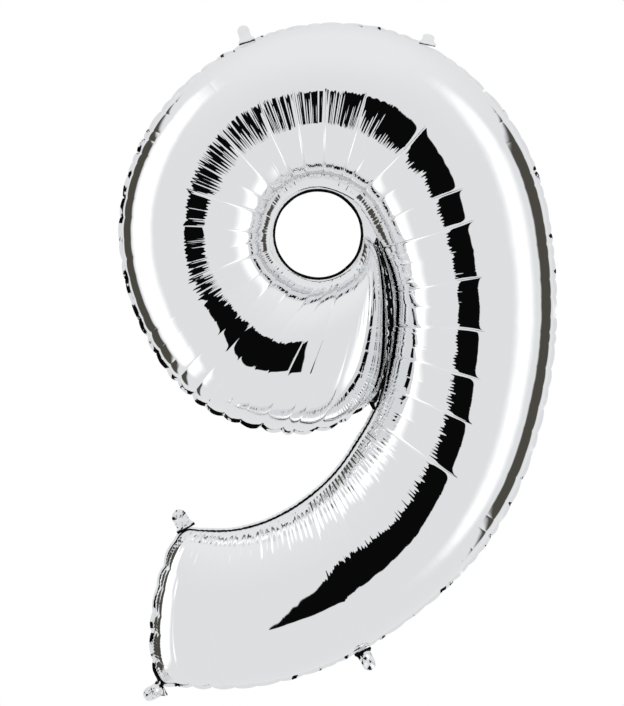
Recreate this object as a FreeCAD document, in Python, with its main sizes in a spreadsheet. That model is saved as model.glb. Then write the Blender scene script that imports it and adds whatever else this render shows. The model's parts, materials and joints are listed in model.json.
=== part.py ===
"""Inflated foil number balloon, a 9: two foil panels heat sealed round their edges, with hang tabs and a valve.

Frame: +Z up the numeral, +X to the reader's right, and the reader looks along +Y at the front panel.
The sealed edge lies in the plane Y = 0. Millimetres. The origin is below the middle of the numeral.
"""

import FreeCAD, Part
import math
import os
import Sketcher
from FreeCAD import Placement, Rotation, Vector

DOC = FreeCAD.newDocument("foil_number_nine")

# ---------------------------------------------------------------- driving dimensions
DIMENSIONS = {
    # where the middle of the counter, the hole of the 9, lies from the origin
    "hole_x": -29.81,
    "hole_z": 699.69,
    # the counter: its free foil edge
    "hole_edge_radius": 64.0,
    # heat seal round every edge, and the fused sheet's thickness
    "seam_width": 5.5,
    "seam_thickness": 0.8,
    # inflated panels
    "foil_wall": 1.0,
    "depth_ratio": 0.9,
    # the crest lies off the middle of the tube, towards the outer edge: on the stem and ring, on the
    # tail and on the bowl's end
    "crest_shift": -0.02,
    "tail_crest_shift": 0.15,
    "bowl_crest_shift": 0.06,
    # the tail's round end: how far it reaches in, its share of the full depth, and how the rest is gained
    "tail_face_reach": 50.0,
    "tail_face_share": 0.45,
    "tail_taper_power": 1.7,
    "tail_cap": 250.0,
    "bowl_cap": 145.0,
    "tail_bulge": 36.0,
    "bowl_bulge": 32.0,
    # hang tabs, die cut with the panels
    "top_tab_width": 18.0,
    "top_tab_length": 25.0,
    "tail_tab_width": 23.0,
    "tail_tab_length": 27.0,
    "top_tab_gap": 0.6,
    "tail_tab_gap": 0.6,
    "root_pad": 2.0,
    # inflation neck: two plies with a flat channel between them
    "neck_width": 20.0,
    "neck_length": 28.0,
    "neck_half": 0.9,
    "neck_gap": 1.2,
    "channel_width": 14.0,
    "channel_half": 0.5,
    # self-sealing valve: two limp films that lie on each other
    "film_width": 12.0,
    "film_length": 150.0,
    "film_thickness": 0.3,
    "film_half_gap": 0.25,
    "passage_width": 14.0,
    "passage_half": 1.3,
    "ink_length": 30.0,
    "ink_margin": 1.0,
    "ink_thickness": 0.1,
    # how far a cutting shape runs past the face it opens
    "cut_past": 1.0,
}

# Stations along the spiral tube, from the tail to the counter: the inner edge's x and z, then the
# outer edge's, from the middle of the counter. Each pair lies square across the tube.
STEM_STATIONS = [
    (-190, -444, -226, -673),
    (-132, -445, -129, -677),
    (-69, -428, -24, -658),
    (-18, -398, 69, -617),
    (26, -358, 156, -557),
    (60, -310, 237, -478),
    (90, -254, 300, -374),
    (105, -191, 336, -260),
    (112, -125, 353, -140),
    (107, -68, 349, -23),
    (90, -13, 328, 82),
    (66, 34, 276, 182),
]
# Round the counter the inner edge is a circle, so a station is its angle and the outer radius.
RING_STATIONS = [(62, 323), (90, 312), (135, 297), (180, 294), (225, 303)]
# The bowl's end, which turns in against the stem: the inner angle, then the outer edge's x and z.
END_STATIONS = [(259, -155, -264), (293, -75, -291), (326, 5, -291), (360, 75, -250)]

# Tongues: x and z of a point on the middle line, from the middle of the counter, and the way it points.
# The root of each is where that line leaves the foil's edge.
TABS = {
    "hang_tab_top_left": (-106, 287, 108, "top_tab"),
    "hang_tab_top_right": (164, 285, 78, "top_tab"),
    "hang_tab_tail_upper": (-202, -434, 121, "tail_tab"),
    "hang_tab_tail_lower": (-224, -674, 208, "tail_tab"),
}
NECK = (66, -623, -64, "neck")

# The flat tools that divide the fused border. The weld's lies at x and z from the middle of the counter.
TOOL_DEPTH = 4.0
RING_MARGIN = 1.5  # how far the counter's ring runs on past the panels' edge
WELD_CORNER = (60.0, -250.0)
WELD_REACH = (70.0, 300.0)

# Distances along the tube between which the crest leaves the tail's line and takes up the bowl's.
TAIL_CREST_RUN = (300.0, 700.0)
BOWL_CREST_RUN = (1480.0, 1620.0)

EDGE_STEPS = 90  # steps along the foil's outer edge
END_STEPS = 12  # steps across the tail's end
INNER_SHARE = 0.45  # the share of the tube's length in which the inner edge meets the bowl
EDGE_SAMPLES = 4000  # points along the foil's edge, to find where a tongue leaves it
ROOT_SEARCH = 40.0  # how far along its middle line a tongue's root may lie
PAD_OVERLAP = 4.0  # how far a tongue's root pad runs into the border
PASSAGE_REACH = 12.0  # how far the passage runs in from the foil's edge
SECTIONS = 44  # rows of the panel surfaces between the two caps
CAP_ROWS = 6  # rows across each rounded end
ARC_POINTS = 13  # points across a panel, from seam to seam


def make_sheet():
    """The spreadsheet that holds every driving dimension under its own alias."""
    sheet = DOC.addObject("Spreadsheet::Sheet", "dims")
    for row, (name, value) in enumerate(DIMENSIONS.items(), start=1):
        sheet.set(f"A{row}", name)
        sheet.set(f"B{row}", str(value))
        sheet.setAlias(f"B{row}", name)
    DOC.recompute()
    return sheet


SHEET = make_sheet()


def size(name):
    """A driving dimension, read back from the sheet."""
    return float(getattr(SHEET, name))


# ---------------------------------------------------------------- the numeral's outline
def hole_wall_radius():
    """Radius at which the panels leave the counter's seal."""
    return size("hole_edge_radius") + size("seam_width")


def polar(radius, degrees):
    angle = math.radians(degrees)
    return radius * math.cos(angle), radius * math.sin(angle)


def stations():
    """(inner point, outer point) at each station, in the part's frame."""
    rows = list(STEM_STATIONS)
    for degrees, outer_radius in RING_STATIONS:
        rows.append(polar(hole_wall_radius(), degrees) + polar(outer_radius, degrees))
    for degrees, x, z in END_STATIONS:
        rows.append(polar(hole_wall_radius(), degrees) + (x, z))
    return [(from_hole(a, b), from_hole(c, d)) for a, b, c, d in rows]


def from_hole(x, z):
    """A point in the seal's plane, given from the middle of the counter."""
    return Vector(x + size("hole_x"), 0, z + size("hole_z"))


def spline(points, parameters):
    """A smooth curve through the points, each at its own parameter."""
    made = Part.BSplineCurve()
    made.interpolate(Points=list(points), Parameters=parameters)
    return made


class Outline:
    """The tube's two edges as curves of the distance along its middle line."""

    def __init__(self):
        pairs = stations()
        middles = [(a + b) * 0.5 for a, b in pairs]
        along = [0.0]
        for a, b in zip(middles, middles[1:]):
            along.append(along[-1] + (b - a).Length)
        self.length = along[-1]
        self.inner = spline([a for a, b in pairs], along)
        self.outer = spline([b for a, b in pairs], along)

    def frame(self, distance):
        """Middle, half width vector towards the inner edge, and forward direction."""
        inner = self.inner.value(distance)
        outer = self.outer.value(distance)
        half = (inner - outer) * 0.5
        forward = Vector(-half.z, 0, half.x).normalize()
        step = self.inner.tangent(distance)[0] + self.outer.tangent(distance)[0]
        if forward.dot(step) < 0:
            forward = -forward
        return (inner + outer) * 0.5, half, forward


OUTLINE = Outline()


def ease(share):
    """1 at share 0, falling smoothly to 0 at share 1."""
    share = min(max(share, 0.0), 1.0)
    return (1 - share) ** 2 * (1 + 2 * share)


def rise(start, end, value):
    """0 up to start and 1 from end on, with a smooth step between them."""
    return 1 - ease((value - start) / (end - start))


def crest_shift(distance):
    """How far the crest lies off the middle of the tube, as a share of its half width."""
    usual = size("crest_shift")
    tail = (size("tail_crest_shift") - usual) * (1 - rise(*TAIL_CREST_RUN, distance))
    bowl = (size("bowl_crest_shift") - usual) * rise(*BOWL_CREST_RUN, distance)
    return usual + tail + bowl


def tail_depth(distance):
    """Share of the full depth at a distance from the tail's end."""
    left = 1 - min(distance / size("tail_face_reach"), 1)
    face = size("tail_face_share") * math.sqrt(1 - left**2)
    short = 1 - distance / size("tail_cap")
    return face + (1 - size("tail_face_share")) * (1 - short ** size("tail_taper_power"))


def section_point(distance, depth_share, angle, side):
    """A point on a panel. angle runs from 0 at the inner edge to pi at the outer edge."""
    middle, half, forward = OUTLINE.frame(distance)
    tail_push = size("tail_bulge") * ease(distance / size("tail_cap"))
    bowl_push = size("bowl_bulge") * ease((OUTLINE.length - distance) / size("bowl_cap"))
    point = middle + half * math.cos(angle)
    point += forward * ((bowl_push - tail_push) * math.sin(angle))
    depth = half.Length * size("depth_ratio") * depth_share
    point.y = side * depth * math.sin(angle) * (1 - crest_shift(distance) * math.cos(angle))
    return point


def rows_along():
    """(distance, share of full depth, parameter) for each row, with round caps at both ends."""
    tail, bowl = size("tail_cap"), size("bowl_cap")
    turns = [math.pi / 2 * k / CAP_ROWS for k in range(CAP_ROWS)]
    straight = OUTLINE.length - tail - bowl
    start = tail * math.pi / 2
    end = start + straight + bowl * math.pi / 2
    rows = []
    for turn in turns:
        gone = tail * (1 - math.cos(turn))
        rows.append((gone, tail_depth(gone), tail * turn))
    for k in range(SECTIONS + 1):
        gone = straight * k / SECTIONS
        rows.append((tail + gone, 1.0, start + gone))
    for turn in turns[::-1]:
        left = bowl * (1 - math.cos(turn))
        rows.append((OUTLINE.length - left, math.sin(turn), end - bowl * turn))
    return rows


def angles_across():
    return [math.pi * k / (ARC_POINTS - 1) for k in range(ARC_POINTS)]


def skin_grid(side):
    """Points over a panel's outer skin, row by row, with every border point in the plane Y = 0."""
    grid = []
    for distance, share, parameter in rows_along():
        line = [section_point(distance, share, angle, side) for angle in angles_across()]
        line[0].y = line[-1].y = 0.0
        grid.append(line)
    return grid


def flat_normal(step):
    """Unit normal, in the seal's plane, to the left of a step seen from the front."""
    return Vector(-step.z, 0, step.x).normalize()


def moved_in(grid, wall):
    """The grid moved square to the skin by the wall: borders stay in the seal's plane."""
    last_row, last_column = len(grid) - 1, len(grid[0]) - 1
    moved = []
    for i, line in enumerate(grid):
        row = []
        for j, point in enumerate(line):
            along = grid[min(i + 1, last_row)][j] - grid[max(i - 1, 0)][j]
            across = line[min(j + 1, last_column)] - line[max(j - 1, 0)]
            if j in (0, last_column):
                inward = flat_normal(along) * (-1 if j == 0 else 1)
                if i in (0, last_row):
                    inward += (line[last_column - j] - point).normalize()
                    inward *= 2 / inward.Length**2
            elif i in (0, last_row):
                inward = flat_normal(across) * (1 if i == 0 else -1)
            else:
                inward = along.cross(across).normalize()
                if inward.y * point.y > 0:
                    inward = -inward
            row.append(point + inward * wall)
        moved.append(row)
    return moved


def skin_face(grid):
    """One skin of a panel as a single smooth face through the grid, splined both ways."""
    lines = [spline(line, angles_across()) for line in grid]
    parameters = [parameter for distance, share, parameter in rows_along()]
    columns = [spline(column, parameters) for column in zip(*[line.getPoles() for line in lines])]
    surface = Part.BSplineSurface()
    surface.buildFromPolesMultsKnots(
        [list(row) for row in zip(*[column.getPoles() for column in columns])],
        columns[0].getMultiplicities(),
        lines[0].getMultiplicities(),
        columns[0].getKnots(),
        lines[0].getKnots(),
        False,
        False,
        columns[0].Degree,
        lines[0].Degree,
    )
    return surface.toShape()


def rim_wire(face):
    return Part.Wire(Part.__sortEdges__(face.Edges))


def panel_shell(side):
    """A foil panel: an outer skin, an inner skin and the flat rim between them."""
    grid = skin_grid(side)
    outer = skin_face(grid)
    inner = skin_face(moved_in(grid, size("foil_wall")))
    rim = Part.makeFace([rim_wire(outer), rim_wire(inner)], "Part::FaceMakerBullseye")
    shell = Part.Shell([outer, inner] + rim.Faces)
    shell.sewShape()
    solid = Part.Solid(shell)
    if solid.Volume < 0:
        solid.reverse()
    return solid


# ---------------------------------------------------------------- the heat seal
def shifted(points, width):
    """Points moved sideways by width, to the left of the way they run, seen from the front."""
    moved = []
    for k, point in enumerate(points):
        step = points[min(k + 1, len(points) - 1)] - points[max(k - 1, 0)]
        moved.append(point + flat_normal(step) * width)
    return moved


def smooth_edge(points):
    made = Part.BSplineCurve()
    made.interpolate(points)
    return made.toShape()


def nearest_pair(first, second):
    """Indices at which two runs of points come nearest to each other."""
    pairs = [
        ((a - b).Length, i, j) for i, a in enumerate(first) for j, b in enumerate(second)
    ]
    return min(pairs)[1:]


def outer_loop():
    """The free outer edge of the foil as a closed wire, with its notch where bowl meets stem."""
    width = size("seam_width")
    distances = [OUTLINE.length * k / EDGE_STEPS for k in range(EDGE_STEPS + 1)]
    outer = shifted([OUTLINE.outer.value(d) for d in distances], -width)
    inner_run = [d for d in distances if d < OUTLINE.length * INNER_SHARE]
    inner = shifted([OUTLINE.inner.value(d) for d in inner_run], width)
    last_half = len(outer) // 2
    outer_end, inner_end = nearest_pair(outer[last_half:], inner)
    outer = outer[: last_half + outer_end + 1]
    inner = inner[: inner_end + 1]
    angles = [math.pi * k / END_STEPS for k in range(END_STEPS + 1)]
    tail = [section_point(0.0, 0.0, angle, 1) for angle in angles]
    tail = shifted(tail, -width)
    edges = [smooth_edge(outer), smooth_edge(inner), smooth_edge(tail)]
    edges.append(Part.makeLine(outer[-1], inner[-1]))
    edges.append(Part.makeLine(inner[0], tail[0]))
    edges.append(Part.makeLine(tail[-1], outer[0]))
    return Part.Wire(Part.__sortEdges__(edges))


def plate(face, thickness):
    """A flat face in the plane Y = 0 thickened evenly to both sides."""
    moved = face.copy()
    moved.translate(Vector(0, -thickness / 2, 0))
    return moved.extrude(Vector(0, thickness, 0))


class Tongue:
    """Where a tab or the neck leaves the foil's edge, and the way it points."""

    def __init__(self, x, z, degrees, kind):
        self.kind = kind
        self.width = size(kind + "_width")
        self.degrees = degrees
        x_way, z_way = polar(1.0, degrees)
        self.along = Vector(x_way, 0, z_way)
        start = from_hole(x, z)
        across = Vector(-self.along.z, 0, self.along.x)
        near = [
            (point - start).dot(self.along)
            for point in outer_loop().discretize(EDGE_SAMPLES)
            if abs((point - start).dot(across)) < self.width / 2
            and abs((point - start).dot(self.along)) < ROOT_SEARCH
        ]
        self.root = start + self.along * max(near)

    def placement(self, beyond=0.0):
        """Placement that turns local +Z to the tongue's way, so far beyond its root."""
        turn = Rotation(Vector(0, 1, 0), 90 - self.degrees)
        return Placement(self.root + self.along * beyond, turn)

    def hinge(self):
        """Placement at the face the tongue bends about."""
        return self.placement(size("root_pad") + size(self.kind + "_gap"))

    def box(self, width, height, low, high):
        """A box along the tongue's middle line, between two distances from its root."""
        made = Part.makeBox(width, height, high - low, Vector(-width / 2, -height / 2, low))
        made.Placement = self.placement()
        return made


def counter_tool(radius):
    """A flat disc about the counter's middle."""
    low = from_hole(0, 0) - Vector(0, TOOL_DEPTH / 2, 0)
    return Part.makeCylinder(radius, TOOL_DEPTH, low, Vector(0, 1, 0))


def seal_plate():
    """The whole fused border as one flat sheet: outer edge, counter and weld."""
    thickness = size("seam_thickness")
    sheet = plate(Part.Face(outer_loop()), thickness)
    for tongue in list(TONGUES.values()) + [INLET]:
        pad = tongue.box(tongue.width, thickness, -PAD_OVERLAP, size("root_pad"))
        sheet = sheet.fuse(pad)
    tube = plate(Part.Face(rim_wire(skin_face(skin_grid(1)))), TOOL_DEPTH)
    counter = counter_tool(size("hole_edge_radius"))
    return sheet.cut(tube).cut(counter).removeSplitter()


def valve_passage():
    """The unsealed way through the border, where the valve films run."""
    return INLET.box(
        size("passage_width"),
        2 * size("passage_half"),
        -PASSAGE_REACH,
        size("root_pad") + size("cut_past"),
    )


def biggest(shape):
    return max(shape.Solids, key=lambda solid: solid.Volume)


def seal_parts():
    """The border split into the counter's ring, the weld below it and the outer border."""
    whole = seal_plate()
    ring_tool = counter_tool(hole_wall_radius() + RING_MARGIN)
    wide, tall = WELD_REACH
    low = from_hole(*WELD_CORNER) - Vector(0, TOOL_DEPTH / 2, 0)
    weld_tool = Part.makeBox(wide, TOOL_DEPTH, tall, low)
    ring = biggest(whole.common(ring_tool))
    rest = whole.cut(ring_tool)
    weld = biggest(rest.common(weld_tool))
    border = biggest(rest.cut(weld_tool)).cut(valve_passage())
    return {"hole_seam": ring, "bowl_weld": weld, "outer_seam": border}


def add_shape(label, shape):
    made = DOC.addObject("Part::Feature", label)
    made.Shape = shape
    made.Label = label
    return made


# ---------------------------------------------------------------- tabs and neck
def origin_plane(body, role):
    return next(f for f in body.Origin.OriginFeatures if f.Role == role)


def tongue_sketch(body, name, width, length):
    """A tongue outline: straight sides from the root and a round end. width and length are aliases."""
    sketch = body.newObject("Sketcher::SketchObject", name)
    sketch.AttachmentSupport = [(origin_plane(body, "XZ_Plane"), "")]
    sketch.MapMode = "FlatFace"
    half = size(width) / 2
    top = size(length) - half
    corners = [Vector(-half, top, 0), Vector(-half, 0, 0), Vector(half, 0, 0), Vector(half, top, 0)]
    for a, b in zip(corners, corners[1:]):
        sketch.addGeometry(Part.LineSegment(a, b), False)
    circle = Part.Circle(Vector(0, top, 0), Vector(0, 0, 1), half)
    sketch.addGeometry(Part.ArcOfCircle(circle, 0, math.pi), False)
    sketch.addConstraint(
        [
            Sketcher.Constraint("Coincident", 0, 2, 1, 1),
            Sketcher.Constraint("Coincident", 1, 2, 2, 1),
            Sketcher.Constraint("Tangent", 2, 2, 3, 1),
            Sketcher.Constraint("Tangent", 3, 2, 0, 1),
            Sketcher.Constraint("Vertical", 0),
            Sketcher.Constraint("Vertical", 2),
            Sketcher.Constraint("PointOnObject", 1, 1, -1),
            Sketcher.Constraint("Symmetric", 1, 1, 1, 2, -2),
        ]
    )
    wide = sketch.addConstraint(Sketcher.Constraint("DistanceX", 1, 1, 1, 2, 2 * half))
    sketch.renameConstraint(wide, "width")
    tall = sketch.addConstraint(Sketcher.Constraint("DistanceY", -1, 1, 3, 3, top))
    sketch.renameConstraint(tall, "straight")
    sketch.setExpression("Constraints.width", f"<<dims>>.{width}")
    sketch.setExpression("Constraints.straight", f"<<dims>>.{length} - <<dims>>.{width} / 2")
    return sketch


def make_tab(name, tongue):
    """A fused foil tab that bends about its root."""
    body = DOC.addObject("PartDesign::Body", name)
    body.Label = name
    sketch = tongue_sketch(body, name + "_outline", tongue.kind + "_width", tongue.kind + "_length")
    pad = body.newObject("PartDesign::Pad", name + "_sheet")
    pad.Profile = sketch
    pad.SideType = "Symmetric"
    pad.setExpression("Length", "<<dims>>.seam_thickness")
    body.Placement = tongue.hinge()
    return body


def make_neck_ply(name, side):
    """One ply of the inflation neck. Its margins are sealed to the other ply at Y = 0."""
    body = DOC.addObject("PartDesign::Body", name)
    body.Label = name
    outline = tongue_sketch(body, name + "_outline", "neck_width", "neck_length")
    pad = body.newObject("PartDesign::Pad", name + "_sheet")
    pad.Profile = outline
    pad.setExpression("Length", "<<dims>>.neck_half")
    pad.Reversed = side > 0
    channel = body.newObject("Sketcher::SketchObject", name + "_channel")
    channel.AttachmentSupport = [(origin_plane(body, "XZ_Plane"), "")]
    channel.MapMode = "FlatFace"
    half = size("channel_width") / 2
    low = -size("cut_past")
    top = size("neck_length") + size("cut_past")
    corners = [Vector(-half, low, 0), Vector(half, low, 0), Vector(half, top, 0), Vector(-half, top, 0)]
    for a, b in zip(corners, corners[1:] + corners[:1]):
        channel.addGeometry(Part.LineSegment(a, b), False)
    for k in range(4):
        channel.addConstraint(Sketcher.Constraint("Coincident", k, 2, (k + 1) % 4, 1))
    for k, kind in enumerate(["Vertical", "Horizontal", "Vertical"], start=1):
        channel.addConstraint(Sketcher.Constraint(kind, k))
    channel.addConstraint(Sketcher.Constraint("Symmetric", 0, 1, 0, 2, -2))
    wide = channel.addConstraint(Sketcher.Constraint("DistanceX", 0, 1, 0, 2, 2 * half))
    channel.renameConstraint(wide, "width")
    below = channel.addConstraint(Sketcher.Constraint("DistanceY", 0, 1, -1, 1, -low))
    channel.renameConstraint(below, "below")
    above = channel.addConstraint(Sketcher.Constraint("DistanceY", -1, 1, 1, 2, top))
    channel.renameConstraint(above, "above")
    channel.setExpression("Constraints.width", "<<dims>>.channel_width")
    channel.setExpression("Constraints.below", "<<dims>>.cut_past")
    channel.setExpression("Constraints.above", "<<dims>>.neck_length + <<dims>>.cut_past")
    groove = body.newObject("PartDesign::Pocket", name + "_groove")
    groove.Profile = channel
    groove.setExpression("Length", "<<dims>>.channel_half")
    groove.Reversed = side < 0
    body.Placement = INLET.hinge()
    return body


# ---------------------------------------------------------------- the valve
def make_film(name, side):
    """A limp valve film that runs from the passage into the balloon."""
    box = DOC.addObject("Part::Box", name)
    box.Label = name
    box.setExpression("Length", "<<dims>>.film_width")
    box.setExpression("Width", "<<dims>>.film_thickness")
    box.setExpression("Height", "<<dims>>.film_length")
    near = size("film_half_gap")
    low = near if side > 0 else -near - size("film_thickness")
    inside = size("film_length") - size("root_pad")
    local = Placement(Vector(-size("film_width") / 2, low, -inside), Rotation())
    box.Placement = INLET.placement().multiply(local)
    return box


def make_ink(name):
    """The release print on the front film's inner face, which keeps the valve from sealing shut."""
    box = DOC.addObject("Part::Box", name)
    box.Label = name
    box.setExpression("Length", "<<dims>>.film_width - 2 * <<dims>>.ink_margin")
    box.setExpression("Width", "<<dims>>.ink_thickness")
    box.setExpression("Height", "<<dims>>.ink_length")
    left = size("ink_margin") - size("film_width") / 2
    low = -size("ink_length") - 2 * size("ink_margin")
    local = Placement(Vector(left, -size("film_half_gap"), low), Rotation())
    box.Placement = INLET.placement().multiply(local)
    return box


# ---------------------------------------------------------------- build
TONGUES = {name: Tongue(*where) for name, where in TABS.items()}
INLET = Tongue(*NECK)


def build():
    passage = valve_passage()
    made = [
        add_shape("front_foil", panel_shell(-1).cut(passage)),
        add_shape("back_foil", panel_shell(1).cut(passage)),
    ]
    for label, shape in seal_parts().items():
        made.append(add_shape(label, shape))
    for name, tongue in TONGUES.items():
        made.append(make_tab(name, tongue))
    made.append(make_neck_ply("neck_front_ply", -1))
    made.append(make_neck_ply("neck_back_ply", 1))
    made.append(make_film("valve_film_front", -1))
    made.append(make_film("valve_film_back", 1))
    made.append(make_ink("valve_ink_patch"))
    DOC.recompute()
    return made


def check(made):
    """Stops the build at a failed object or a shape that isn't a closed, valid solid."""
    for item in DOC.Objects:
        if "Invalid" in item.State or "Error" in item.State:
            raise RuntimeError(f"{item.Label} failed: {item.State}")
    for item in made:
        shape = item.Shape
        if shape.isNull() or not shape.isValid() or not shape.Solids or shape.Volume <= 0:
            raise RuntimeError(f"{item.Label} has no valid solid")


def export(made):
    os.makedirs("parts", exist_ok=True)
    whole = FreeCAD.BoundBox()
    for item in made:
        item.Shape.exportStep(f"parts/{item.Label}.step")
        whole.add(item.Shape.BoundBox)
        print(f"{item.Label}: {len(item.Shape.Solids)} solid(s), {item.Shape.Volume:.0f} mm3")
    print(f"x {whole.XMin:.2f} {whole.XMax:.2f}  y {whole.YMin:.2f} {whole.YMax:.2f}"
          f"  z {whole.ZMin:.2f} {whole.ZMax:.2f}")


PIECES = build()
check(PIECES)
export(PIECES)
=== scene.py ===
"""The looks of an inflated foil number balloon, a 9: mirror film with its puckers, seals and tabs."""

import json
import math

import bpy
import numpy as np
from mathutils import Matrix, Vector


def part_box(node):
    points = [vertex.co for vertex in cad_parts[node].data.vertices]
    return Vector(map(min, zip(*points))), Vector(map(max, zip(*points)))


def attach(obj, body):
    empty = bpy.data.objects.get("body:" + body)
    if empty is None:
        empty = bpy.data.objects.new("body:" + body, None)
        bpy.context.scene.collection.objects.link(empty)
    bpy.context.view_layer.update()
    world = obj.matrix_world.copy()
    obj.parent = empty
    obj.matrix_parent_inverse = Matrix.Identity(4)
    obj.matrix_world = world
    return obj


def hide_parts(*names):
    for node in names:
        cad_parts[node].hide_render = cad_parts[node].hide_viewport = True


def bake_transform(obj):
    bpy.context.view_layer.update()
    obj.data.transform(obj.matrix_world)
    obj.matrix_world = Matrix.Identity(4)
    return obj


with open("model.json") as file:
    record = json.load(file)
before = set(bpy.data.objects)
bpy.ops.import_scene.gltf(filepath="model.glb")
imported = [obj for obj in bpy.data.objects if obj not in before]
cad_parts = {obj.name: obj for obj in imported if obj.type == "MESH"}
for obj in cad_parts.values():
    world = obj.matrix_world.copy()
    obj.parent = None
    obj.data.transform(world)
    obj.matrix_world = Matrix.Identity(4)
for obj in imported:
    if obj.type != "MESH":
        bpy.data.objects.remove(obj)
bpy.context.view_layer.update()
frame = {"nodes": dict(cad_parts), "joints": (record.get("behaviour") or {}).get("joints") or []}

# ---------------------------------------------------------------- the numeral's outline, in millimetres
HOLE = np.array([-29.81, 699.69])  # middle of the counter
HOLE_EDGE = 64.0
SEAM = 5.5
DEPTH_RATIO = 0.9  # the tube's depth over its width
# How far the crest lies from the middle, as a share of the half width, and where that changes.
CREST_SHIFT, TAIL_CREST_SHIFT, BOWL_CREST_SHIFT = -0.02, 0.15, 0.06
TAIL_CREST_RUN, BOWL_CREST_RUN = (300, 700), (1480, 1620)
TAIL_FACE = (50.0, 0.45)  # how far the tail's round end reaches in, and its share of the full depth
TAPER_POWER = 1.7
TAIL_CAP, BOWL_CAP = 250.0, 145.0  # how far each end's rounding reaches along the tube
TAIL_BULGE, BOWL_BULGE = 36.0, 32.0  # how far each end bows out in its middle

# (inner x, inner z, outer x, outer z) square across the tube, from the middle of the counter
STEM_STATIONS = [
    (-190, -444, -226, -673),
    (-132, -445, -129, -677),
    (-69, -428, -24, -658),
    (-18, -398, 69, -617),
    (26, -358, 156, -557),
    (60, -310, 237, -478),
    (90, -254, 300, -374),
    (105, -191, 336, -260),
    (112, -125, 353, -140),
    (107, -68, 349, -23),
    (90, -13, 328, 82),
    (66, 34, 276, 182),
]
# (degrees round the counter, outer radius)
RING_STATIONS = [(62, 323), (90, 312), (135, 297), (180, 294), (225, 303)]
# (degrees round the counter, outer x, outer z)
END_STATIONS = [(259, -155, -264), (293, -75, -291), (326, 5, -291), (360, 75, -250)]

# Where the folds lie that run out from the inner edge, as distances along the tube.
FOLDS = [
    243, 299, 342, 385, 430, 470, 508, 545, 578, 609, 641, 674, 712, 752,
    795, 838, 886, 936, 983, 1030, 1069, 1098, 1126, 1150, 1174, 1218, 1250, 1282, 1325, 1366,
    1418, 1454, 1489, 1530, 1572, 1606, 1639, 1668, 1695, 1726, 1756,
]
# The ones that cross the crest. The others are short.
LONG_FOLDS = {
    470, 545, 609, 674, 752, 838, 886, 983, 1069, 1126, 1174, 1218, 1282, 1366, 1418, 1489, 1572,
    1639, 1695,
}
LAST_LONG_FOLD = 1570  # folds past here are cut short, where the bowl ends
NOTCH_AT = 502.0  # distance along the tube where the bowl's end meets the stem
WELD_TOP_AT = 859.0  # and where the weld ends, at the counter

SPLIT_AT = 752.0  # the stem and the ring are meshed apart, cut along one of the folds
ALONG, ACROSS = 1900, 50  # mesh columns along each of them, and rows across
TAIL_COLUMNS, TAIL_ACROSS = 420, 225  # the tail's end has finer rows, for its creases

FRONT_SEED, BACK_SEED, SEALED_EDGE_SEED = 21, 57, 9


def spline(knots, values):
    """Natural cubic spline through values at knots, as a function of where to read it."""
    knots, values = np.asarray(knots, float), np.asarray(values, float)
    step = np.diff(knots)
    n = len(knots)
    system, right = np.eye(n), np.zeros_like(values)
    for i in range(1, n - 1):
        system[i, i - 1 : i + 2] = step[i - 1], 2 * (step[i - 1] + step[i]), step[i]
        rise = (values[i + 1] - values[i]) / step[i] - (values[i] - values[i - 1]) / step[i - 1]
        right[i] = 6 * rise
    bend = np.linalg.solve(system, right)

    def read(at):
        i = np.clip(np.searchsorted(knots, at) - 1, 0, n - 2)
        a = ((knots[i + 1] - at) / step[i])[:, None]
        b = 1 - a
        square = (step[i] ** 2)[:, None] / 6
        return (
            a * values[i]
            + b * values[i + 1]
            + ((a**3 - a) * bend[i] + (b**3 - b) * bend[i + 1]) * square
        )

    return read


def stations():
    """Points of the tube's inner and outer edges, from the tail to the bowl's end."""
    rows = list(STEM_STATIONS)
    wall = HOLE_EDGE + SEAM
    for degrees, reach in RING_STATIONS:
        c, s = math.cos(math.radians(degrees)), math.sin(math.radians(degrees))
        rows.append((wall * c, wall * s, reach * c, reach * s))
    for degrees, x, z in END_STATIONS:
        c, s = math.cos(math.radians(degrees)), math.sin(math.radians(degrees))
        rows.append((wall * c, wall * s, x, z))
    rows = np.array(rows, float)
    return rows[:, :2] + HOLE, rows[:, 2:] + HOLE


def run_along(line):
    """Distance along a line of points, at each point."""
    return np.concatenate([[0.0], np.cumsum(np.linalg.norm(np.diff(line, axis=0), axis=1))])


INNER_POINTS, OUTER_POINTS = stations()
KNOTS = run_along((INNER_POINTS + OUTER_POINTS) / 2)
LENGTH = float(KNOTS[-1])
inner_edge, outer_edge = spline(KNOTS, INNER_POINTS), spline(KNOTS, OUTER_POINTS)
TAIL_TURN, BOWL_TURN = TAIL_CAP * math.pi / 2, BOWL_CAP * math.pi / 2
SPAN = TAIL_TURN + LENGTH - TAIL_CAP - BOWL_CAP + BOWL_TURN


def ease(share):
    """Falls smoothly from 1 at 0 to 0 at 1."""
    share = np.clip(share, 0.0, 1.0)
    return (1 - share) ** 2 * (1 + 2 * share)


def smooth(low, high, value):
    """Rises smoothly from 0 at low to 1 at high."""
    share = np.clip((value - low) / (high - low), 0.0, 1.0)
    return share * share * (3 - 2 * share)


def along_tube(u):
    """(distance, share of full depth) at parameter u, which turns evenly round both end caps."""
    tail = np.clip(u / TAIL_CAP, 0, math.pi / 2)
    bowl = np.clip((SPAN - u) / BOWL_CAP, 0, math.pi / 2)
    distance = TAIL_CAP * (1 - np.cos(tail)) + np.clip(u - TAIL_TURN, 0, None)
    past = np.clip(u - (SPAN - BOWL_TURN), 0, None)
    distance = distance - past + (BOWL_CAP * np.cos(bowl)) * (past > 0)
    reach, share = TAIL_FACE
    face = np.sqrt(1 - (1 - np.clip(distance / reach, 0, 1)) ** 2)
    taper = 1 - (1 - np.clip(distance / TAIL_CAP, 0, 1)) ** TAPER_POWER
    return distance, (share * face + (1 - share) * taper) * np.sin(bowl)


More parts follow.
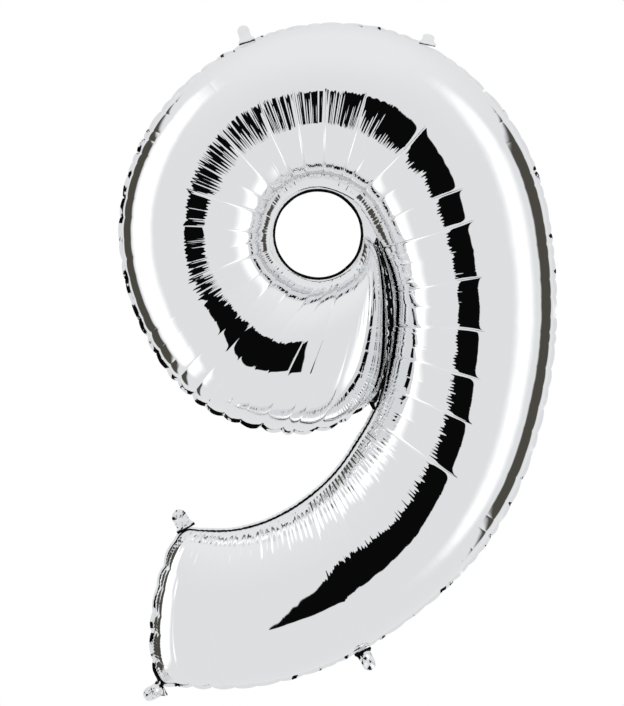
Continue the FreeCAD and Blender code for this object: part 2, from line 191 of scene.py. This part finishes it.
def parameter_at(distance):
    """u for a distance between the caps."""
    return distance - TAIL_CAP + TAIL_TURN


def base_grid(u, angle):
    """The smooth front panel: points over parameters u and angles from the inner edge to the outer."""
    distance, share = along_tube(u)
    inner, outer = inner_edge(distance), outer_edge(distance)
    middle, half = (inner + outer) / 2, (inner - outer) / 2
    width = np.linalg.norm(half, axis=1)
    forward = np.stack([half[:, 1], -half[:, 0]], axis=1) / width[:, None]
    push = BOWL_BULGE * ease((LENGTH - distance) / BOWL_CAP) - TAIL_BULGE * ease(distance / TAIL_CAP)
    sine, cosine = np.sin(angle), np.cos(angle)
    flat = middle[:, None] + half[:, None] * cosine[None, :, None]
    flat = flat + forward[:, None] * (push[:, None] * sine[None])[..., None]
    before = 1 - smooth(*TAIL_CREST_RUN, distance)
    shift = CREST_SHIFT + (TAIL_CREST_SHIFT - CREST_SHIFT) * before
    shift += (BOWL_CREST_SHIFT - CREST_SHIFT) * smooth(*BOWL_CREST_RUN, distance)
    depth = (width * DEPTH_RATIO * share)[:, None] * sine * (1 - shift[:, None] * cosine)
    return np.stack([flat[..., 0], -depth, flat[..., 1]], axis=-1), distance


def outward(points):
    """Unit normals of a front panel's grid, away from the inside."""
    cross = np.cross(np.gradient(points, axis=0), np.gradient(points, axis=1))
    normal = cross / (np.linalg.norm(cross, axis=2, keepdims=True) + 1e-12)
    return normal * (-1 if normal[len(normal) // 2, normal.shape[1] // 2, 1] > 0 else 1)


# ---------------------------------------------------------------- puckers and folds
def cells(start, stop, size, jitter, rng):
    """Borders of uneven cells between start and stop."""
    borders = [start]
    while borders[-1] < stop:
        borders.append(borders[-1] + size * (1 + jitter * rng.uniform(-1, 1)))
    return np.array(borders)


def within(borders, at):
    """(cell number, share of the way across it) for each place."""
    k = np.clip(np.searchsorted(borders, at, side="right") - 1, 0, len(borders) - 2)
    return k, np.clip((at - borders[k]) / (borders[k + 1] - borders[k]), 0, 1)


def fold_field(distance, fraction, stretch, rng):
    """Sharp valleys that run in from the inner edge and fade past the crest, with pillows between."""
    height = np.zeros_like(stretch)
    for at in FOLDS:
        long = at in LONG_FOLDS
        depth = rng.uniform(0.75, 1.15) if long else rng.uniform(0.3, 0.6)
        reach = rng.uniform(0.60, 0.70) if long else rng.uniform(0.3, 0.42)
        if at > LAST_LONG_FOLD:
            reach = min(reach, 0.36)
        slant, bow = rng.uniform(-9, 9), rng.uniform(-5, 5)
        path = at + slant * (fraction - 0.4) + bow * np.sin(fraction * 7 + at)
        aside = np.abs((distance[:, None] - path[None]) * stretch)
        fade = 1 - smooth(reach - 0.22, reach, fraction)
        size = depth * fade * (0.55 + 0.45 * smooth(0.0, 0.3, fraction))
        height -= size[None] * np.exp(-aside / rng.uniform(2.4, 3.4))
        height -= 0.55 * size[None] * np.exp(-((aside / 1.0) ** 2))
    borders = np.array([-30.0, *FOLDS, LENGTH + 30.0])
    k, share = within(borders, distance)
    gaps = np.diff(borders)[k]
    swell = gaps * 0.02 * rng.uniform(0.5, 1.3, len(FOLDS) + 1)[k] * (1 - (2 * share - 1) ** 2)
    lean = rng.uniform(-1, 1, len(FOLDS) + 1)[k] * 0.5 * np.sin(math.pi * share)
    swell *= smooth(480, 640, distance)  # the tail has no pillows
    fade = (1 - smooth(0.24, 0.52, fraction)) * smooth(0.0, 0.06, fraction)
    height += (swell + lean)[:, None] * fade[None]
    return height


def waves(borders, distance):
    """(cell number, a smooth wave over each cell, the cell's size) at each place along the tube."""
    k, share = within(borders, distance)
    return k, 0.5 - 0.5 * np.cos(2 * math.pi * share), borders[k + 1] - borders[k]


def comb_field(distance, fraction, stretch, rng):
    """Fine puckers side by side along the inner half, each with its own strength and length."""
    height = np.zeros_like(stretch)
    # round the top and left of the ring the puckers cross the crest, and on the lower stem they are deep
    crossed = 0.6 * smooth(980, 1060, distance) + 0.4 * smooth(1080, 1130, distance)
    crossed *= 1 - smooth(1500, 1560, distance)
    lower = smooth(300, 420, distance) * (1 - smooth(720, 860, distance))
    for size, strength in ((5.0, 1.0), (12.0, 0.5)):
        borders = cells(-20, LENGTH + 20, size, 0.16, rng)
        k, wave, width = waves(borders, distance)
        power = (rng.uniform(0.25, 1.0, len(borders)) ** 1.2)[k] * strength
        tip = (rng.uniform(0.42, 0.50, len(borders))[k] + 0.18 * crossed + 0.03 * lower)[:, None]
        fade = (1 - smooth(tip - 0.16, tip, fraction[None])) * smooth(0.26, 0.38, fraction)[None]
        slope = (0.16 + 0.12 * crossed + 0.08 * lower)[:, None] * power[:, None] * fade
        height += slope * width[:, None] * stretch / math.pi * wave[:, None]
    # finer rows nearer the inner edge: (size, slope, from and to as shares across, where they fade out)
    near_edge = ((8.5, 0.32, 0.06, 0.22, (400, 520)), (8.0, 0.45, 0.0, 0.10, None))
    for size, strength, low, high, gone in near_edge:
        borders = cells(-20, LENGTH + 20, size, 0.3, rng)
        k, wave, width = waves(borders, distance)
        power = rng.uniform(0.2, 1.0, len(borders))[k]
        if gone:
            power *= 1 - smooth(*gone, distance)
        tip = (high + rng.uniform(-0.05, 0.07, len(borders))[k])[:, None]
        fade = (1 - smooth(tip - 0.1, tip, fraction[None])) * smooth(low - 0.04, low + 0.03, fraction)
        height += strength * (power * wave)[:, None] * fade * width[:, None] * stretch / math.pi
    return height


def edge_pucker(place, borders, depths):
    """Scallops along an edge: zero in the middle of a cell and drawn in at its ends."""
    k, share = within(borders, place)
    side = np.where(share < 0.5, depths[k], depths[k + 1])
    return -side * np.abs(2 * share - 1) ** 1.7


# u at each mesh column of a panel, and distances along its inner edge, crest and outer edge there
COLUMNS = np.concatenate(
    [
        np.linspace(0, parameter_at(SPLIT_AT), ALONG + 1),
        np.linspace(parameter_at(SPLIT_AT), SPAN, ALONG + 1)[1:],
    ]
)
LINES, DISTANCES = base_grid(COLUMNS, np.array([0, math.pi / 2, math.pi]))
INNER_RUN, CREST_RUN, OUTER_RUN = [run_along(LINES[:, k]) for k in range(3)]
END_RUN = 300.0  # at least the length of either end's seam


def creased(borders, depths, place):
    """(each place's distance from its nearest cell border, that border's depth)"""
    k, share = within(borders, place)
    near = np.minimum(share, 1 - share) * (borders[k + 1] - borders[k])
    return near, np.where(share < 0.5, depths[k], depths[k + 1])


def outer_field(rows, to_edge, rng):
    """Scallops and short folds along the outer edge."""
    place = OUTER_RUN[rows]
    borders = cells(-20, OUTER_RUN[-1] + 20, 27.0, 0.45, rng)
    depths = rng.uniform(0.9, 2.6, len(borders))
    # deeper under the bowl and at the tail
    middles = np.interp(borders, OUTER_RUN, DISTANCES)
    depths *= 1 + 1.6 * smooth(1480, 1560, middles)
    depths *= 1 + 0.8 * (1 - smooth(40, 160, middles))
    draw = edge_pucker(place, borders, depths)
    near, side = creased(borders, depths, place)
    reach = 9 + 5 * side
    height = draw[:, None] * np.exp(-to_edge / reach[:, None])
    valley = 0.35 * side * np.exp(-near / 1.8)
    height -= valley[:, None] * np.exp(-to_edge / (reach * 1.9)[:, None])
    fine = cells(-20, OUTER_RUN[-1] + 20, 5.2, 0.35, rng)
    k, wave, _ = waves(fine, place)
    wave = wave * rng.uniform(0.2, 1.0, len(fine))[k] * 0.42
    height += wave[:, None] * np.exp(-((to_edge / rng.uniform(9, 16)) ** 2)) * (to_edge > 0)
    return height


def end_field(place, from_end, rng, size, depth, run, crease):
    """Scallops and short folds along an end's seam.

    place runs along the seam, run is how far they reach from it, and crease is how sharp they are.
    """
    borders = cells(-10, END_RUN, size, 0.35, rng)
    depths = rng.uniform(0.6, 1.3, len(borders)) * depth
    near, side = creased(borders, depths, place)
    height = edge_pucker(place, borders, depths)[None] * np.exp(-from_end / run)[:, None]
    reach = np.exp(-((from_end / (2 * run)) ** 2)) * (from_end > 0)
    height -= (crease * side * np.exp(-near / 2.2))[None] * reach[:, None]
    fine = cells(-10, END_RUN, 5.0, 0.35, rng)
    k, wave, _ = waves(fine, place)
    wave = wave * rng.uniform(0.2, 1.0, len(fine))[k] * 1.3 * crease
    height = height + wave[None] * reach[:, None]
    return height * (1 - smooth(1.4 * run, 3 * run, from_end))[:, None]


def panel(seed, rows, across):
    """Some columns of the front panel with its puckers. Its sealed edges don't depend on the seed."""
    u = COLUMNS[rows]
    angle = np.linspace(0, math.pi, across + 1)
    points, distance = base_grid(u, angle)
    fraction = (1 - np.cos(angle)) / 2
    normal = outward(points)
    # how much longer the film's columns are here than along the middle of the tube
    run = np.maximum(np.gradient(distance), 1e-3)
    stretch = np.linalg.norm(np.gradient(points, axis=0), axis=2) / run[:, None]
    stretch = np.clip(stretch, 0.2, 3.0)
    steps = np.linalg.norm(np.diff(points, axis=1), axis=2)
    arc = np.concatenate([np.zeros((len(u), 1)), np.cumsum(steps, axis=1)], axis=1)
    to_outer = arc[:, -1:] - arc
    shared, own = np.random.default_rng(SEALED_EDGE_SEED), np.random.default_rng(seed)
    height = fold_field(distance, fraction, stretch, own)
    height += comb_field(distance, fraction, stretch, own)
    height *= np.minimum(1, 4 * np.sin(angle))[None]
    height += outer_field(rows, to_outer, shared)
    # small scallops round the inner edge
    rim = cells(-10, INNER_RUN[-1] + 10, 9.0, 0.4, shared)
    draw = edge_pucker(INNER_RUN[rows], rim, shared.uniform(0.25, 0.9, len(rim)))
    height += draw[:, None] * np.exp(-arc / 7)
    # all of these fade towards the two ends, which have puckers of their own
    height *= (smooth(0, 60, u) * smooth(0, 50, SPAN - u))[:, None]
    seams, _ = base_grid(COLUMNS[[0, -1]], angle)
    crest = CREST_RUN[rows]
    tail = end_field(run_along(seams[0]), crest, shared, 34.0, 2.6, 19.0, 1.3)
    shoulder = smooth(23, 44, crest) * (1 - smooth(44, 100, crest))
    tail += 3.4 * shoulder[:, None]
    bowl = end_field(run_along(seams[1]), CREST_RUN[-1] - crest, shared, 26.0, 1.6, 8.0, 0.4)
    corners = smooth(0, 0.12, fraction) * smooth(0, 0.12, 1 - fraction)
    height += (tail + bowl) * corners[None]
    points = points + normal * height[..., None]
    sealed = [points[:, 0], points[:, -1]]
    sealed += [points[k] for k in (0, -1) if u[k] in (0.0, SPAN)]
    for edge in sealed:
        edge[:, 1] = 0.0
    return points


# ---------------------------------------------------------------- meshes and materials
def grid_mesh(name, points, material, flip=False):
    """A smooth-shaded mesh of quads over a grid of points in millimetres."""
    rows, columns = points.shape[:2]
    number = np.arange(rows * columns).reshape(rows, columns)
    quads = np.stack(
        [number[:-1, :-1], number[1:, :-1], number[1:, 1:], number[:-1, 1:]], axis=-1
    ).reshape(-1, 4)
    if flip:
        quads = quads[:, ::-1]
    mesh = bpy.data.meshes.new(name)
    mesh.vertices.add(rows * columns)
    mesh.vertices.foreach_set("co", (points.reshape(-1, 3) / 1000).astype(np.float32).ravel())
    mesh.loops.add(quads.size)
    mesh.loops.foreach_set("vertex_index", quads.ravel().astype(np.int32))
    mesh.polygons.add(len(quads))
    mesh.polygons.foreach_set("loop_start", np.arange(0, quads.size, 4, dtype=np.int32))
    mesh.polygons.foreach_set("use_smooth", np.ones(len(quads), bool))
    mesh.update(calc_edges=True)
    mesh.validate()
    made = bpy.data.objects.new(name, mesh)
    bpy.context.scene.collection.objects.link(made)
    made.data.materials.append(material)
    return made


WAVINESS = 0.0006  # metres


def foil_material(name, tint, roughness, scale):
    """Metallised film with a faint waviness of the given noise scale, per metre."""
    material = bpy.data.materials.new(name)
    material.use_nodes = True
    nodes, links = material.node_tree.nodes, material.node_tree.links
    shader = nodes["Principled BSDF"]
    shader.inputs["Base Color"].default_value = (*tint, 1)
    shader.inputs["Metallic"].default_value = 1.0
    shader.inputs["Roughness"].default_value = roughness
    place = nodes.new("ShaderNodeTexCoord")
    noise = nodes.new("ShaderNodeTexNoise")
    noise.inputs["Scale"].default_value = scale
    noise.inputs["Detail"].default_value = 2.0
    links.new(place.outputs["Object"], noise.inputs["Vector"])
    bump = nodes.new("ShaderNodeBump")
    bump.inputs["Strength"].default_value = 1.0
    bump.inputs["Distance"].default_value = WAVINESS
    links.new(noise.outputs["Fac"], bump.inputs["Height"])
    links.new(bump.outputs["Normal"], shader.inputs["Normal"])
    return material


FOIL = foil_material("foil", (0.90, 0.905, 0.91), 0.02, 18.0)
SEAL = foil_material("sealed_foil", (0.88, 0.885, 0.89), 0.06, 90.0)
TAB = foil_material("tab_foil", (0.88, 0.885, 0.89), 0.09, 60.0)


def plain_material(name, colour, roughness):
    material = bpy.data.materials.new(name)
    material.use_nodes = True
    shader = material.node_tree.nodes["Principled BSDF"]
    shader.inputs["Base Color"].default_value = (*colour, 1)
    shader.inputs["Roughness"].default_value = roughness
    return material


def mirrored(points):
    """The same points on the other side of the sealed edge."""
    return points * np.array([1.0, -1.0, 1.0])


EVERY = np.arange(len(COLUMNS))
FRONT, BACK = panel(FRONT_SEED, EVERY, ACROSS), panel(BACK_SEED, EVERY, ACROSS)
FRONT_TAIL, BACK_TAIL = [
    panel(seed, EVERY[: TAIL_COLUMNS + 1], TAIL_ACROSS) for seed in (FRONT_SEED, BACK_SEED)
]

for node, tail, whole, front in (
    ("front_foil", FRONT_TAIL, FRONT, True),
    ("back_foil", mirrored(BACK_TAIL), mirrored(BACK), False),
):
    lengths = {
        "tail": tail,
        "stem": whole[TAIL_COLUMNS : ALONG + 1],
        "ring": whole[ALONG:],
    }
    for length, points in lengths.items():
        made = grid_mesh(f"{node}_{length}", points, FOIL, flip=front)
        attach(made, "balloon")
        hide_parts(node)


# ---------------------------------------------------------------- sealed borders
def wander(count, step, reach, rng):
    """A smooth random line of count values, a new value every step, within plus or minus reach."""
    knots = np.arange(0, count + 2 * step, step, dtype=float)
    line = spline(knots, rng.uniform(-reach, reach, (len(knots), 1)))
    return line(np.arange(count, dtype=float))[:, 0]


def resample(path, spacing):
    """The path with evenly spaced points, and the distance along it at each."""
    along = run_along(path)
    at = np.linspace(0, along[-1], int(along[-1] / spacing))
    return np.stack([np.interp(at, along, path[:, k]) for k in range(path.shape[1])], axis=1), at


def blurred(values, reach):
    """Each column of values, averaged over reach rows either side."""
    kernel = np.hanning(2 * reach + 3)[1:-1]
    kernel /= kernel.sum()
    padded = np.pad(values, ((reach, reach), (0, 0)), mode="edge")
    return np.stack([np.convolve(column, kernel, "valid") for column in padded.T], axis=1)


def lean_share(path):
    """How much of its backward lean the border has at each place round the numeral."""
    x, z = (path - HOLE).T
    bowl = (z < -90) & (z > -330) & (x < 120)
    left = (x < -150) & (z > -90) & (z < 150)
    tail = (x < -170) & (z < -430)
    share = np.where(bowl, 0.35, np.where(left | tail, 0.45, np.where(x > 250, 0.7, 1.0)))
    return blurred(share[:, None], 20)[:, 0]


def outer_strip():
    """The border round the tail, the stem's outside and the bowl, from the notch to the notch."""
    up_to_notch = FRONT[DISTANCES <= NOTCH_AT, 0]
    path = np.concatenate([up_to_notch[::-1], FRONT_TAIL[0, 1:], FRONT[1:, -1]])[:, [0, 2]]
    path, at = resample(path, 0.9)
    tangent = blurred(np.gradient(path, axis=0), 7)
    tangent /= np.linalg.norm(tangent, axis=1, keepdims=True)
    normal = np.stack([tangent[:, 1], -tangent[:, 0]], axis=1)
    rng = np.random.default_rng(4)
    # the inside of the tail is drawn flat, and the rest of the border ripples
    flat = 1 - smooth(450, 520, at)
    ripple = wander(len(path), 12, 1.0, rng) + 0.4 * wander(len(path), 6, 1.0, rng)
    ripple *= 0.9 - 0.75 * flat
    reach = SEAM * (1 + 0.07 * wander(len(path), 20, 1.0, rng))
    lean = (1.7 + 1.1 * wander(len(path), 22, 1.0, rng)) * (1 - flat) * lean_share(path)
    rows = []
    for share in np.linspace(-0.25, 1, 7):
        x, z = (path + normal * (reach * share)[:, None]).T
        out = max(share, 0)
        sway = ripple * out**1.3 + lean * out + 3.0 * flat * max(share - 0.5, 0)
        rows.append(np.stack([x, sway, z], axis=1))
    return np.stack(rows, axis=1)


def hole_strip():
    """The ring of fused film round the counter."""
    turns = np.linspace(0, 2 * math.pi, 721)
    rng = np.random.default_rng(12)
    ripple, edge = wander(len(turns), 16, 0.14, rng), wander(len(turns), 24, 0.3, rng)
    # the last few values lead back to the first
    for line in (ripple, edge):
        line[-20:] = line[-20:] * np.linspace(1, 0, 20) + line[0] * np.linspace(0, 1, 20)
    # towards the weld the stem's edge lies farther out
    wide = SEAM + 8.0 + 12.0 * np.exp(-(((np.degrees(turns) + 180) % 360 - 188) / 24) ** 2)
    rows = []
    for share in np.linspace(0, 1, 14):
        radius = HOLE_EDGE + edge * (1 - share) + wide * share
        x, z = HOLE[0] + radius * np.cos(turns), HOLE[1] + radius * np.sin(turns)
        rise = 0.5 * np.clip(radius - HOLE_EDGE - SEAM + 0.8, 0, None)
        rows.append(np.stack([x, ripple * (1 - share) - rise, z], axis=1))
    return np.stack(rows, axis=1)


def weld_strip():
    """The fused strip between the bowl's end and the stem."""
    # it runs on a little way past the bowl's corner, into the notch
    below = FRONT[-1, -1] + np.outer([4.0, 8.0], [0.9, 0, -1.6])
    bowl, _ = resample(np.concatenate([FRONT[-1], below]), 1.0)
    stem = FRONT[(DISTANCES > NOTCH_AT - 40) & (DISTANCES < WELD_TOP_AT + 30), 0]
    order = np.argsort(stem[:, 2])
    across = np.interp(bowl[:, 2], stem[order, 2], stem[order, 0])
    rng = np.random.default_rng(8)
    sway = wander(len(bowl), 8, 0.5, rng)
    rows = []
    for share in np.linspace(0, 1, 5):
        x = bowl[:, 0] * (1 - share) + across * share
        rows.append(np.stack([x, sway * math.sin(math.pi * share), bowl[:, 2]], axis=1))
    return np.stack(rows, axis=1)


for node, points in (
    ("outer_seam", outer_strip()),
    ("hole_seam", hole_strip()),
    ("bowl_weld", weld_strip()),
):
    made = grid_mesh(f"{node}_film", points, SEAL)
    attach(made, "balloon")
    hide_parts(node)


# ---------------------------------------------------------------- tabs, neck and valve
def crumple(x, z, rng, folds, size, height):
    """Faceted creases: folds in random directions laid over each other."""
    total = np.zeros_like(x)
    for _ in range(folds):
        turn, length = rng.uniform(0, math.pi), size * rng.uniform(0.7, 1.5)
        along = (x * math.cos(turn) + z * math.sin(turn)) / length + rng.uniform(0, 1)
        total += np.abs(along % 1 - 0.5) * rng.uniform(0.5, 1.0)
    return (total - total.mean()) * height


def tongue(joint, width, length, rng, height, lift=0.0, curl=0.0, back=6.0, flat=-6.0):
    """A film tongue from a hinge, with its root tucked into the border.

    height is its crumples', lift moves it back, curl bends it back at rest (radians), back is the length
    of the root behind the hinge, and flat is where the crumples start, past the hinge.
    """
    pivot = np.array(joint["pos_m"]) * 1000
    axis = np.array(joint["axis"], float)
    way = np.cross(axis, [0, 1, 0])
    v = np.linspace(0, 1, 70)[:, None]
    w = np.linspace(-1, 1, 44)[None]
    z = -back + (length + back) * v
    past = np.clip((z - (length - width / 2)) / (width / 2), 0, 0.999)
    half = width / 2 * np.sqrt(1 - past**2) + 3.5 * np.exp(-np.clip(z + 1, 0, None) / 2.2) * (z < 9)
    x = half * w + 0 * z
    z = z + 0 * w
    bend = curl * smooth(-back, 5.0, z)
    y = crumple(x, z, rng, 6, width * 0.7, height) * smooth(flat, flat + 8, z) + lift
    forward = z * np.cos(bend)
    y = y + np.sin(bend) * (z + back)
    backward = np.array([0, 1, 0])
    return pivot + axis * x[..., None] + way * forward[..., None] + backward * y[..., None]


def joint_named(name):
    return next(j for j in frame["joints"] if j["name"] == name)


def side_of_hinge(joint, node):
    """The joint with its axis turned so that the tongue runs the right way from it."""
    low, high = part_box(node)
    centre = (np.array(low) + np.array(high)) / 2
    way = np.cross(np.array(joint["axis"], float), [0, 1, 0])
    if way @ (centre - np.array(joint["pos_m"])) < 0:
        return {**joint, "axis": [-a for a in joint["axis"]]}
    return joint


# (node, width, length, crumple height, bend at rest)
TONGUES = [
    ("hang_tab_top_left", 18.0, 25.0, 0.5, 0.4),
    ("hang_tab_top_right", 18.0, 25.0, 0.6, 0.95),
    ("hang_tab_tail_upper", 23.0, 27.0, 4.0, 0.15),
    ("hang_tab_tail_lower", 21.0, 27.0, 3.6, -0.1),
]


def bend_at(made):
    """Bakes the tongue's placement into its mesh."""
    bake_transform(made)


for k, (node, width, length, height, curl) in enumerate(TONGUES):
    joint = side_of_hinge(joint_named(node + "_bend"), node)
    points = tongue(joint, width, length, np.random.default_rng(30 + k), height, curl=curl)
    made = grid_mesh(f"{node}_film", points, TAB)
    bend_at(made)
    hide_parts(node)

for node, lift in (("neck_front_ply", -0.9), ("neck_back_ply", 0.9)):
    joint = side_of_hinge(joint_named("neck_bend"), node)
    rng = np.random.default_rng(44)
    points = tongue(joint, 20.0, 28.0, rng, 5.2, lift=lift, back=4.5, flat=-1.0)
    made = grid_mesh(f"{node}_film", points, TAB)
    bend_at(made)
    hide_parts(node)

FILM = plain_material("valve_film", (0.82, 0.83, 0.84), 0.3)
INK = plain_material("valve_ink", (0.12, 0.16, 0.3), 0.6)
for node, material in {
    "valve_film_front": FILM,
    "valve_film_back": FILM,
    "valve_ink_patch": INK,
}.items():
    slots = frame["nodes"][node].data.materials
    slots.clear()
    slots.append(material)

# ---------------------------------------------------------------- floor, light and camera
SIDE, BEHIND, FLOOR_HEIGHT = 6.0, 1.5, -0.30  # the floor ends before the camera would see it
floor_mesh = bpy.data.meshes.new("floor")
corners = ((-SIDE, -SIDE), (SIDE, -SIDE), (SIDE, BEHIND), (-SIDE, BEHIND))
floor_mesh.from_pydata([(x, y, FLOOR_HEIGHT) for x, y in corners], [], [(0, 1, 2, 3)])
floor = bpy.data.objects.new("floor", floor_mesh)
bpy.context.scene.collection.objects.link(floor)
floor.data.materials.append(plain_material("floor", (0.9, 0.9, 0.9), 0.8))
floor.visible_glossy = False


class Sky:
    """The studio as a light surround: soft lights, a dark flat behind the camera and dark sides."""

    def __init__(self, tree):
        self.nodes, self.links = tree.nodes, tree.links
        place = self.nodes.new("ShaderNodeTexCoord")
        split = self.nodes.new("ShaderNodeSeparateXYZ")
        self.links.new(place.outputs["Generated"], split.inputs[0])
        x, y, z = split.outputs
        self.sideways = self.math("ARCTAN2", x, self.math("MULTIPLY", y, -1.0))
        self.upward = self.math("ARCSINE", z)

    def math(self, kind, *values):
        node = self.nodes.new("ShaderNodeMath")
        node.operation = kind
        for k, value in enumerate(values):
            if isinstance(value, (int, float)):
                node.inputs[k].default_value = value
            else:
                self.links.new(value, node.inputs[k])
        return node.outputs[0]

    def ramp(self, value, low, high):
        """0 below low and 1 above high, in degrees."""
        node = self.nodes.new("ShaderNodeMapRange")
        node.interpolation_type = "SMOOTHSTEP"
        self.links.new(value, node.inputs["Value"])
        node.inputs["From Min"].default_value = math.radians(low)
        node.inputs["From Max"].default_value = math.radians(high)
        return node.outputs["Result"]

    def between(self, value, low, high, soft):
        """1 between two angles in degrees, with soft edges."""
        above = self.ramp(value, low - soft, low + soft)
        below = self.math("SUBTRACT", 1.0, self.ramp(value, high - soft, high + soft))
        return self.math("MULTIPLY", above, below)

    def window(self, sides, heights, soft):
        """1 inside a box of directions: degrees to the right of the front, then degrees up."""
        inside = self.between(self.sideways, *sides, soft)
        return self.math("MULTIPLY", inside, self.between(self.upward, *heights, soft))

    def paint(self, under, mask, colour):
        node = self.nodes.new("ShaderNodeMix")
        node.data_type = "RGBA"
        self.links.new(mask, node.inputs[0])
        if isinstance(under, tuple):
            node.inputs[6].default_value = (*under, 1)
        else:
            self.links.new(under, node.inputs[6])
        node.inputs[7].default_value = (*colour, 1)
        return node.outputs[2]


LOW_SURROUND, HIGH_SURROUND = (0.80, 0.81, 0.825), (0.88, 0.885, 0.89)
# (sides, heights, softness, colour) of each window, in degrees: two soft lights, the dark sides of the
# studio and the dark flat behind the camera
WINDOWS = [
    ((-106, -70), (-40, 48), 9, (1.35, 1.35, 1.35)),
    ((62, 83), (-40, 48), 12, (1.35, 1.35, 1.35)),
    ((-147, -114), (-30, 30), 2.5, (0.075, 0.070, 0.058)),
    ((104, 139), (-30, 30), 2.5, (0.075, 0.070, 0.058)),
    ((-18.3, 8), (-23, 20), 0.4, (0.003, 0.003, 0.003)),
]

world = bpy.data.worlds.new("studio")
bpy.context.scene.world = world
world.use_nodes = True
sky = Sky(world.node_tree)
light = sky.paint(LOW_SURROUND, sky.ramp(sky.upward, 20, 75), HIGH_SURROUND)
for sides, heights, soft, colour in WINDOWS:
    light = sky.paint(light, sky.window(sides, heights, soft), colour)
# the balloon mirrors the studio, and the camera sees plain white behind it
seen = world.node_tree.nodes.new("ShaderNodeLightPath")
light = sky.paint(light, seen.outputs["Is Camera Ray"], (1.0, 1.0, 1.0))
background = world.node_tree.nodes["Background"]
world.node_tree.links.new(light, background.inputs["Color"])

FAR = 3.4  # metres from the camera to the sealed edge
SHOWN_MIDDLE = (-0.0388, 0.5219)  # x and z in the middle of the picture
SHOWN_HEIGHT = 1.059  # metres from the picture's bottom to its top, at the sealed edge
camera = bpy.data.objects.new("camera", bpy.data.cameras.new("camera"))
bpy.context.scene.collection.objects.link(camera)
camera.location = (SHOWN_MIDDLE[0], -FAR, SHOWN_MIDDLE[1])
camera.rotation_euler = (math.pi / 2, 0, 0)
camera.data.lens = camera.data.sensor_width * FAR / SHOWN_HEIGHT
bpy.context.scene.camera = camera
bpy.context.scene.view_settings.view_transform = "Standard"
